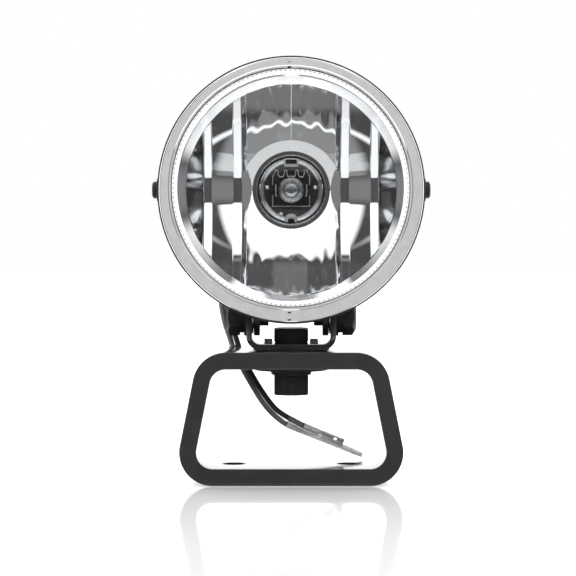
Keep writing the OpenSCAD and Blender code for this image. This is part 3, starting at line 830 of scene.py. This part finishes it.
def in_opening(r, ahead, angle):
    """A point of the bezel or the lens, moved with the opening."""
    share = min(1, max(0, (PLAIN_R - r) / (PLAIN_R - SHIFTED_R)))
    x, y, z = on_lamp(r, ahead, angle)
    return (x + share * OPENING_SHIFT[0], y, z + share * OPENING_SHIFT[1])


def make_bezel():
    """The satin ring: a lip round the lens, then a polished slope, the satin face and a polished edge."""
    front = bezel_front
    back = front - BEZEL_DEPTH + 0.05
    lip_in, lip_out, satin_in = 58.4, 59.3, 59.8
    sunk, edge, wall = 0.2, 0.75, 1.9
    satin_out = bezel_r - edge
    outline = [
        (lip_in, front - 1.5), (lip_in, front - 0.25), (lip_in + 0.25, front), (lip_out, front),
        (satin_in, front - sunk), (satin_out, front - sunk), (bezel_r - 0.2, front - sunk - 0.3),
        (bezel_r, front - sunk - 1), (bezel_r, back), (bezel_r - wall, back),
        (bezel_r - wall, front - 2.5), (62.1, front - 2.5), (62.1, 15), (60.5, 15), (60.5, front - 1.5)
    ]

    def finish(r, h):
        on_face = lip_in + 0.2 < r < satin_out + 0.1 and h > front - sunk - 0.15
        on_slope = lip_out < r < satin_in
        return 0 if on_face and not on_slope else 1

    finishes = [satin, polished, black_plastic]
    bezel = lathe("bezel_visual", fillet(outline, 0.15), in_opening, finishes, 320, finish)
    # Pressed marks, in pairs at the top and the bottom
    for z, size in ((62.3, 0.28), (59.8, 0.5), (-59.8, 0.45), (-63.4, 0.45)):
        for x in (-1.35, -0.55):
            top = front - (0.1 if abs(z) < satin_in else sunk)
            start = (x, -front - 1, lamp_z + z)
            end = (x, -top + 0.35, lamp_z + z)
            cut(bezel, rod("mark", start, end, size, black_plastic, 16))
    return stand_for(bezel, "head", "satin_metal", "bezel")


LENS_FACE = bezel_front - 1.6
LENS_WINDOW = 57.8


def dome(r):
    """How far the lens stands ahead of its rim."""
    crown = 4.2
    return crown * (1 - (r / LENS_WINDOW) ** 2)


def make_lens():
    """Clear glass: a shallow dome with a thick rim, then the frosted band and the knurls on it."""
    rim_r = 60.2
    rim_back = LENS_FACE - 2.8

    def skin(limit, rim):
        steps = 30
        return [(limit * i / steps, rim + dome(LENS_WINDOW * i / steps)) for i in range(steps + 1)]

    outline = skin(LENS_WINDOW - 1, rim_back + 0.1)
    outline += [(LENS_WINDOW, rim_back), (rim_r, rim_back), (rim_r, LENS_FACE)]
    outline += skin(LENS_WINDOW, LENS_FACE)[::-1]
    lens = lathe("lens_visual", outline, in_opening, [lens_glass], 256, closed=False)
    stand_for(lens, "head", "clear_glass", "lens")
    stand_for(join([make_lens_band(), make_knurls()], "lens_knurls"), "head", "clear_glass")


def make_lens_band():
    """The frosted band just inside the bezel: a thin ring of raised steps on the dome."""
    start = 55.3
    steps = [(start, 0.02), (start + 0.15, 0.16), (56.2, 0.16), (56.3, 0.07), (56.45, 0.16),
             (57.7, 0.14), (58.0, 0.0)]
    profile = [(r, LENS_FACE + dome(min(r, LENS_WINDOW)) + proud) for r, proud in steps]
    profile += [(r, h - 0.3) for r, h in profile[::-1]]
    return lathe("lens_band", profile, in_opening, [frosted], 256)


def make_knurls():
    """A ring of fine pointed knurls on the frosted band."""
    count, middle, reach = 152, 57.3, 0.3
    half = 2 * math.pi / count * 0.27
    points, faces = [], []
    for k in range(count):
        angle = 2 * math.pi * k / count
        base = len(points)
        for r, turn in ((middle - reach, 0), (middle, half), (middle + reach, 0), (middle, -half)):
            points.append(in_opening(r, LENS_FACE + dome(r) + 0.14, angle + turn))
        points += [in_opening(middle, LENS_FACE + dome(middle) + proud, angle) for proud in (0.3, 0)]
        for i in range(4):
            j = (i + 1) % 4
            faces += [(base + i, base + j, base + 4), (base + j, base + i, base + 5)]
    return add_piece("knurls", points, faces, [knurl_glass])


def make_seal(node, inner, outer, rounding, steps):
    """A flat rubber ring as deep as its CAD node."""
    low, high = span(node)
    outline = fillet([(inner, -high.y), (outer, -high.y), (outer, -low.y), (inner, -low.y)], rounding)
    stand_for(lathe(f"{node}_visual", outline, on_lamp, [rubber], steps), "head", "rubber", node)


def make_grip(angle, outline):
    """One grip rib of the rear cover."""
    thickness = 1.2
    spoke = Vector((math.sin(angle), 0, math.cos(angle)))
    side = Vector((math.cos(angle), 0, -math.sin(angle)))

    def place(u, v, w):
        return Vector((0, -v, lamp_z)) + spoke * u + side * (w - thickness / 2)

    grip = prism("grip", outline, place, thickness, black_plastic)
    bevel(grip, 0.25, 2)
    return grip


def make_cover():
    """The rear cover: a cap with a flange, a sleeve into the housing and grip ribs."""
    r = span("rear_cover")[1].x
    back = -span("rear_cover")[1].y
    top = -span("cover_seal")[1].y
    cap = [(0, back), (r - 6, back), (r - 2.5, back + 2.5), (r - 1.4, top - 3.4), (r, top - 3), (r, top),
           (20, top), (20, top + 3), (18, top + 3), (18, back + 3), (0, back + 3)]
    parts = [lathe("cover_shell", fillet(cap, 0.6), on_lamp, [black_plastic], 160, closed=False)]
    grip = [(r - 4.2, back + 1.2), (r - 2.3, back + 2.2), (r - 0.9, top - 3.2),
            (r - 3, top - 3.2), (r - 4.6, back + 2)]
    grips = 24
    parts += [make_grip(2 * math.pi * k / grips, grip) for k in range(grips)]
    stand_for(join(parts, "rear_cover_visual"), "head", "black_plastic", "rear_cover")


def make_grommet():
    """The lead grommet: a plug in the housing, a collar and two folds."""
    low, high = span("lead_grommet")
    outline = [(0, low.y), (4.4, low.y), (4.4, 32.5), (5.6, 32.5), (5.2, 33.6), (4.5, 33.8), (4.9, 34.6),
               (4.2, 35.2), (4.4, 36), (3.6, 36.6), (3.4, high.y), (0, high.y)]
    boot = lathe("lead_grommet_visual", fillet(outline, 0.25), round_grommet(), [rubber], 48, closed=False)
    stand_for(boot, "head", "rubber", "lead_grommet")


make_housing()
make_bezel()
make_lens()
make_seal("lens_gasket", 58.2, span("lens_gasket")[1].x, 0.15, 192)
make_cover()
make_seal("cover_seal", 20.7, 24.5, 0.3, 128)
make_grommet()
stand_for(soften("bezel_screws", black_steel, 0.25), "head", "black_steel", "bezel_screws")


# ---------------------------------------------------------------- reflector

APERTURE_R = 51.5
BULB_HOLE_R = 17.7
COLLAR_R = 19.3          # the flat ring round the bulb's hole
CREASE_R = 24.8          # where the shallower cone round it meets the bowl
COLUMN_HALF = 22
BARS = (26.6, 41.2)      # distance of the bright flutes from the middle
BAR_HALF = (2.1, 1.9)    # half their widths
FLUTE_STEP = 0.1


def flute_slope(x):
    """How steeply the bowl leans across, as a share of the plain bowl's lean at the same place."""
    x = abs(x)
    if x < COLUMN_HALF:
        return 0.66
    for middle, half in zip(BARS, BAR_HALF):
        if abs(x - middle) < half:
            return 0.0
    if BARS[0] < x < BARS[1]:
        return 0.65
    return 1.5


def flute_heights(focus_4):
    """The bowl's height at each step of x, by adding up its slope, so that the flutes join without a gap."""
    heights, total = [0.0], 0.0
    x = 0.0
    while x < APERTURE_R + 1:
        total += FLUTE_STEP * flute_slope(x) * 2 * x / focus_4
        heights.append(total)
        x += FLUTE_STEP
    return heights


def make_reflector():
    """A mirror bowl with a faceted middle column, two narrow flat flutes on either side and a stepped rim."""
    depth = 24
    aperture_front = rim_front - 3.8
    vertex_front = aperture_front - depth
    focus_4 = APERTURE_R ** 2 / depth
    heights = flute_heights(focus_4)
    facets = 7.3
    rough = random.Random(5)
    facet_depths = [rough.uniform(0.5, 1.2) for _ in range(9)]

    def bowl(x, z):
        place = abs(x) / FLUTE_STEP
        i = int(place)
        across = heights[i] + (heights[i + 1] - heights[i]) * (place - i)
        ahead = vertex_front + across + z * z / focus_4
        if abs(x) < COLUMN_HALF:
            # Shallow facets over the middle column, deeper towards its ends
            wave = 0.5 - 0.5 * math.cos(2 * math.pi * x / facets)
            facet = facet_depths[int((x + COLUMN_HALF) / facets)]
            share = max(0, min(1, (abs(z) - 22) / 20))
            ahead += 0.14 * facet * wave * share + 0.09 * abs(x) * min(1, abs(z) / 18)
            ahead += 0.06 * share * math.sin(0.5 * z) * math.sin(0.6 * x)
        return ahead

    def skin_height(r, angle):
        if r < COLLAR_R:
            return vertex_front + 1.6
        lean = 0.55
        reach = r if r > CREASE_R else CREASE_R - (CREASE_R - r) * lean
        return bowl(reach * math.sin(angle), reach * math.cos(angle))

    turns, rings = 720, 150
    angles = [2 * math.pi * k / turns for k in range(turns)]
    radii = [BULB_HOLE_R, COLLAR_R - 0.01]
    radii += [COLLAR_R + (APERTURE_R - COLLAR_R) * j / rings for j in range(rings + 1)]
    points = [on_lamp(r, skin_height(r, angle), angle) for r in radii for angle in angles]
    # The flange: a cone in steps from the aperture out to the lens
    lean = 0.63
    flange = [(51.7, aperture_front + 0.1)]
    for start, end in ((51.72, 52.9), (52.92, 54.2), (54.22, 55.6), (55.62, 57.3)):
        begin = flange[-1][1] + 0.1
        flange += [(start, begin), (end, begin + lean * (end - start))]
    flange += [(57.8, rim_front), (60, rim_front)]
    points += [on_lamp(r, min(ahead, rim_front), angle) for r, ahead in flange for angle in angles]
    skin = add_piece("reflector_visual", points, ring_faces(len(radii) + len(flange), turns), [mirror_coat])
    thicken = skin.modifiers.new("wall", "SOLIDIFY")
    thicken.thickness = 0.9 * MM
    thicken.offset = -1
    apply_modifiers(skin)
    stand_for(skin, "head", "mirror_coat", "reflector")


make_reflector()


# ---------------------------------------------------------------- bulb and carrier

def make_ring():
    """The bright ring round the black disc, dark on its inner slope."""
    low, high = span("carrier_ring")
    inner, outer, front, back = 16.2, high.x, -low.y, -high.y
    outline = [(inner, back), (outer, back), (outer, front - 0.5), (outer - 0.3, front),
               (outer - 0.75, front), (outer - 0.95, front - 0.9), (inner, front - 1.0)]

    def finish(r, h):
        return 1 if r < outer - 0.8 and h > back + 0.5 else 0

    ring = lathe("carrier_ring_visual", fillet(outline, 0.15), on_lamp, [bright_steel, enamel], 192, finish)
    stand_for(ring, "head", "bright_steel", "carrier_ring")


def make_carrier():
    """The black disc that holds the bulb, with a polished channel near its edge."""
    back, face = -carrier_high.y, carrier_front
    edge, outer, inner, depth = 16.1, 15.9, 13.7, 0.6
    outline = [(BULB_R + 0.2, back), (edge, back), (edge, face - 0.2), (outer, face - 0.1)]
    for i in range(1, 12):
        across = i / 12
        outline.append((outer + (inner - outer) * across,
                        face - 0.1 - 0.2 * across - depth * math.sin(math.pi * across)))
    outline += [(inner, face - 0.35), (BULB_R + 0.5, face - 0.35), (BULB_R + 0.2, face - 0.7)]

    def finish(r, h):
        return 1 if inner < r < outer and h > face - 1.2 else 0

    carrier = lathe("bulb_carrier_visual", outline, on_lamp, [enamel, polished], 192, finish)
    stand_for(carrier, "head", "black_paint", "bulb_carrier")


def wire(name, points, r, material):
    """A thin wire through points, rounded at its bends."""
    return tube(name, smooth_route(points, 5), r, material, 10)


def make_plate():
    """The bright pressed outline on the black disc: a frame with dips, two brackets, a tab and a clamp."""
    face = carrier_front - 0.25
    w, low_z, high_z = 9.2, -8.1, 7.5
    open_low, open_high = -2.6, 2.4

    def pressed(name, r, line):
        return wire(name, [(x, -face, lamp_z + z) for x, z in line], r, pressed_steel)

    half_frame = [(w, open_low), (w, -5), (w, low_z + 0.4), (w - 0.4, low_z)]
    frame_line = [(-x, z) for x, z in half_frame] + [(0, low_z)] + half_frame[::-1]
    parts = [pressed("frame", 0.2, frame_line)]
    halves = [
        ("upright", 0.2, [(w, open_high), (w, 5), (w, 6.8), (8.8, high_z), (8.3, 7.9)]),
        ("dip", 0.24, [(8.0, 8.6), (8.0, 9.7), (7.2, 10.1), (6.6, 9.4), (6.5, 8.2), (6.1, 7.0), (5.0, 6.5),
                       (3.9, 7.0), (3.5, 8.2), (3.4, 9.4), (2.8, 10.0), (2.2, 9.4), (2.1, 8.0), (1.9, 7.0)]),
        ("cup", 0.34, [(6.1, 6.9), (5.5, 6.5), (4.5, 6.5), (3.9, 6.9)]),
        ("bracket", 0.32, [(7.6, 2.9), (7.7, 0), (7.6, -2.6), (7.0, -3.2)]),
    ]
    for side in (-1, 1):
        parts += [pressed(name, r, [(side * x, z) for x, z in line]) for name, r, line in halves]
    parts.append(pressed("bar", 0.45, [(-1.9, 6.6), (0, 6.7), (1.9, 6.6)]))

    # The tab at the top and the clamp at the bottom stand across the channel round the disc
    top, thickness = carrier_front + 0.2, 0.9

    def flat(name, outline, depth, sunk, material):
        return prism(name, outline, lambda u, v, d: (u, sunk - top - d, lamp_z + v), depth, material)

    tab = flat("tab", [(-3.4, 11.4), (3.4, 11.4), (3.6, 12.2), (3.6, 15.7), (-3.6, 15.7), (-3.6, 12.2)],
               thickness, thickness, pressed_steel)
    bevel(tab, 0.3, 2)
    # A thin black sheet laid on the tab's face is painted shade where the tab is hollow
    tab_painted_shade = flat("tab_painted_shade", [(-2.8, 13), (2.8, 13), (2.8, 15.2), (-2.8, 15.2)], 0.12, 0, enamel)
    clamp = flat("clamp", [(-2.5, -17.2), (2.5, -17.2), (3.1, -14.2), (2.3, -12.5), (1.1, -11.8),
                           (-1.1, -11.8), (-2.3, -12.5), (-3.1, -14.2)], thickness, thickness, pressed_steel)
    bevel(clamp, 0.35, 3)
    # A thin black sheet laid on the clamp's face is painted shade where the clamp is hollow
    clamp_painted_shade = flat("clamp_painted_shade", [(-2, -16.6), (2, -16.6), (1.3, -14.2), (-1.3, -14.2)],
                        0.12, 0, enamel)
    parts += [tab, tab_painted_shade, clamp, clamp_painted_shade]
    stand_for(join(parts, "bulb_plate_visual"), "head", "bright_steel", "bulb_plate")


def make_rivets():
    """Three polished domes on the black disc."""
    seat = 0.35
    profile = [(0, 1.05), (0.5, 0.95), (0.9, 0.65), (1.2, 0.2), (1.3, -0.3), (0, -0.3)]
    outline = [(r, seat - carrier_front - proud) for r, proud in profile]
    rivets = [lathe("rivet", outline, round_y(x, lamp_z + z), [polished], 32, closed=False)
              for x, z in ((-12, 1.3), (12, 1.3), (-5, -12))]
    stand_for(join(rivets, "plate_rivets_visual"), "head", "bright_steel", "plate_rivets")


def make_glass():
    """The bulb's quartz envelope, a tube with a round end."""
    low, high = span("bulb_glass")
    r, start, tip, wall = high.x, -high.y, -low.y, 0.8
    shoulder = tip - r
    outer = [(r * 0.86, start), (r * 0.96, start + 1.2), (r, start + 3), (r, shoulder)]
    outer += arc(r, range(10, 91, 8), 0, shoulder) + [(0, tip)]
    inner = [(max(0, x - wall), min(h, tip - wall)) for x, h in outer[::-1]]
    envelope = lathe("bulb_glass_visual", outer + inner, on_lamp, [bulb_quartz], 96)
    stand_for(envelope, "head", "clear_glass", "bulb_glass")


def make_filament():
    """The coil on its posts, and a stepped bright cup behind the glass, seen through it as rings."""
    start = -span("bulb_glass")[1].y
    bottom = -span("bulb_base")[1].y + 6.5
    tall = carrier_front - 0.6 - bottom
    steps = ((0, 0.25), (1.2, 0.25), (1.6, 0.45), (2.6, 0.45), (3.0, 0.65), (4.0, 0.65), (4.5, 0.85),
             (5.3, 0.85), (5.9, 1), (6.1, 0.95), (6.1, 0), (0, 0))
    profile = [(r, bottom + tall * up) for r, up in steps]
    parts = [lathe("cup", profile, on_lamp, [bright_steel], 96, closed=False)]
    ahead = -span("filament")[0].y - 0.8
    coil_r, half, turns, per_turn = 0.55, 2.6, 9, 12
    coil = []
    for i in range(turns * per_turn + 1):
        a = 2 * math.pi * i / per_turn
        x = -half + 2 * half * i / (turns * per_turn)
        coil.append(Vector((x, -ahead + coil_r * math.cos(a), lamp_z + coil_r * math.sin(a))))
    parts.append(tube("coil", coil, 0.13, tungsten, 8))
    for side in (-1, 1):
        post = [(side * 3, -start - 1.6, lamp_z), (side * 3, -start - 6, lamp_z),
                (side * 3, -ahead + 0.8, lamp_z), (side * half, -ahead, lamp_z)]
        parts.append(wire("post", post, 0.3, tungsten))
    stand_for(join(parts, "filament_visual"), "head", "bright_steel", "filament")


def make_base():
    """The bulb's brass base, behind the disc."""
    back = -span("bulb_base")[1].y
    outline = [(0, back), (9, back), (9, back + 5.6), (8.2, back + 6.4), (0, back + 6.4)]
    base = lathe("bulb_base_visual", fillet(outline, 0.4), on_lamp, [brass], 96, closed=False)
    stand_for(base, "head", "brass", "bulb_base")


make_ring()
make_carrier()
make_plate()
make_rivets()
make_glass()
make_filament()
make_base()
stand_for(soften("bulb_clip", bright_steel, 0.05, 1), "head", "bright_steel", "bulb_clip")
stand_for(soften("bulb_contact", black_plastic, 0.3), "head", "black_plastic", "bulb_contact")
feed_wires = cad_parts["feed_wires"].data.materials
feed_wires.clear()
feed_wires.append(grey_pvc)


# ---------------------------------------------------------------- studio

DARK_POWER = 0.08


def make_floor():
    """A pale, slightly glossy table top that ends about half a metre ahead of the object."""
    front, back, half = -0.46, 3.4, 1.1
    mesh = bpy.data.meshes.new("floor")
    corners = [(-half, front, 0), (half, front, 0), (half, back, 0), (-half, back, 0)]
    mesh.from_pydata(corners, [], [(0, 1, 2, 3)])
    material, tree, shader = new_material("floor")
    blotches = add_noise(tree, 3, 2)
    tint(tree, blotches, grey(0.90), grey(0.92), shader.inputs["Base Color"])
    vary(tree, blotches, 0.05, 0.07, shader.inputs["Roughness"])
    shader.inputs["Specular IOR Level"].default_value = 0.9
    mesh.materials.append(material)
    floor = bpy.data.objects.new("floor", mesh)
    scene.collection.objects.link(floor)
    floor.location.z = -0.0002
    # Mirrors show the world's lit panels instead of the floor
    floor.visible_glossy = False
    floor.visible_transmission = False


def make_world():
    """A white tent behind the object. The camera's side is dark but for lit panels, side walls and a halo."""
    world = bpy.data.worlds.new("studio")
    world.use_nodes = True
    tree = world.node_tree
    nodes, links = tree.nodes, tree.links
    nodes.clear()
    direction = nodes.new("ShaderNodeTexCoord")
    split = nodes.new("ShaderNodeSeparateXYZ")
    links.new(direction.outputs["Generated"], split.inputs["Vector"])
    across, along, up = split.outputs

    def ramp(value, low, high, to_low=0.0, to_high=1.0):
        node = nodes.new("ShaderNodeMapRange")
        node.interpolation_type = "SMOOTHSTEP"
        node.inputs["From Min"].default_value = low
        node.inputs["From Max"].default_value = high
        node.inputs["To Min"].default_value = to_low
        node.inputs["To Max"].default_value = to_high
        links.new(value, node.inputs["Value"])
        return node.outputs["Result"]

    def maths(operation, *values):
        node = nodes.new("ShaderNodeMath")
        node.operation = operation
        for socket, value in zip(node.inputs, values):
            if isinstance(value, (int, float)):
                socket.default_value = value
            else:
                links.new(value, socket)
        return node.outputs["Value"]

    toward_camera = maths("MULTIPLY", along, -1.0)
    sideways = maths("ABSOLUTE", across)
    spread = maths("DIVIDE", sideways, maths("MAXIMUM", toward_camera, 0.02))

    def band(value, low, high, soft):
        """1 where the value lies between low and high, with soft ends."""
        above_low = ramp(value, low - soft, low + soft)
        return maths("MULTIPLY", above_low, ramp(value, high - soft, high + soft, 1.0, 0.0))

    def panel(bottom, top, half_width, side_soft, power):
        """A lit rectangle on the camera's side, by height and by width against distance."""
        tall = band(up, bottom, top, 0.015)
        wide = ramp(spread, half_width - side_soft, half_width + side_soft, 1.0, 0.0)
        return maths("MULTIPLY", maths("MULTIPLY", tall, wide), power)

    softbox = panel(0.22, 0.85, 0.98, 0.08, 1.6)
    table_edge = maths("MULTIPLY", band(up, -0.99, -0.21, 0.01), ramp(sideways, 0.04, 0.06, 1.3, 0.0))
    table = panel(-0.90, -0.21, 1.05, 0.15, 0.34)
    table_near = panel(-0.52, -0.28, 1.05, 0.15, 0.85)
    halo_power = maths("MULTIPLY", ramp(sideways, 0.80, 0.86, 1.6, 0.0), ramp(up, 0.3, 0.75, 1.0, 0.2))
    halo = maths("MULTIPLY", band(toward_camera, 0.455, 0.495, 0.02), halo_power)
    walls = maths("MULTIPLY", band(up, -0.2, 0.2, 0.12), ramp(sideways, 0.1, 0.35, 0.0, 0.26))
    beside = ramp(sideways, 0.93, 0.98, 0.0, 1.2)
    behind = maths("MULTIPLY", ramp(along, 0.02, 0.2), 2.0)
    strength = DARK_POWER
    for source in (softbox, walls, table_edge, table, table_near, halo, beside, behind):
        strength = maths("MAXIMUM", source, strength)
    ray = nodes.new("ShaderNodeLightPath")
    seen = nodes.new("ShaderNodeMix")
    seen.data_type = "FLOAT"
    links.new(ray.outputs["Is Camera Ray"], seen.inputs["Factor"])
    links.new(strength, seen.inputs["A"])
    seen.inputs["B"].default_value = 1.0
    background = nodes.new("ShaderNodeBackground")
    background.inputs["Color"].default_value = (1, 1, 1, 1)
    links.new(seen.outputs["Result"], background.inputs["Strength"])
    output = nodes.new("ShaderNodeOutputWorld")
    links.new(background.outputs["Background"], output.inputs["Surface"])
    scene.world = world


def add_light(name, location, aim, size, power):
    data = bpy.data.lights.new(name, "AREA")
    data.shape = "RECTANGLE"
    data.size, data.size_y = size
    data.energy = power
    light = bpy.data.objects.new(name, data)
    light.location = location
    light.rotation_euler = (Vector(aim) - Vector(location)).to_track_quat("-Z", "Y").to_euler()
    # Mirrors show the world's lit panels instead of the lights
    light.visible_glossy = False
    light.visible_transmission = False
    scene.collection.objects.link(light)


make_floor()
make_world()
add_light("top", (0, -0.25, 1.1), (0, 0, 0.12), (0.9, 0.7), 9)
add_light("front", (0.2, -1.7, 0.75), (0, 0, 0.08), (0.8, 0.8), 11)
scene.view_settings.view_transform = "Standard"
scene.view_settings.look = "None"
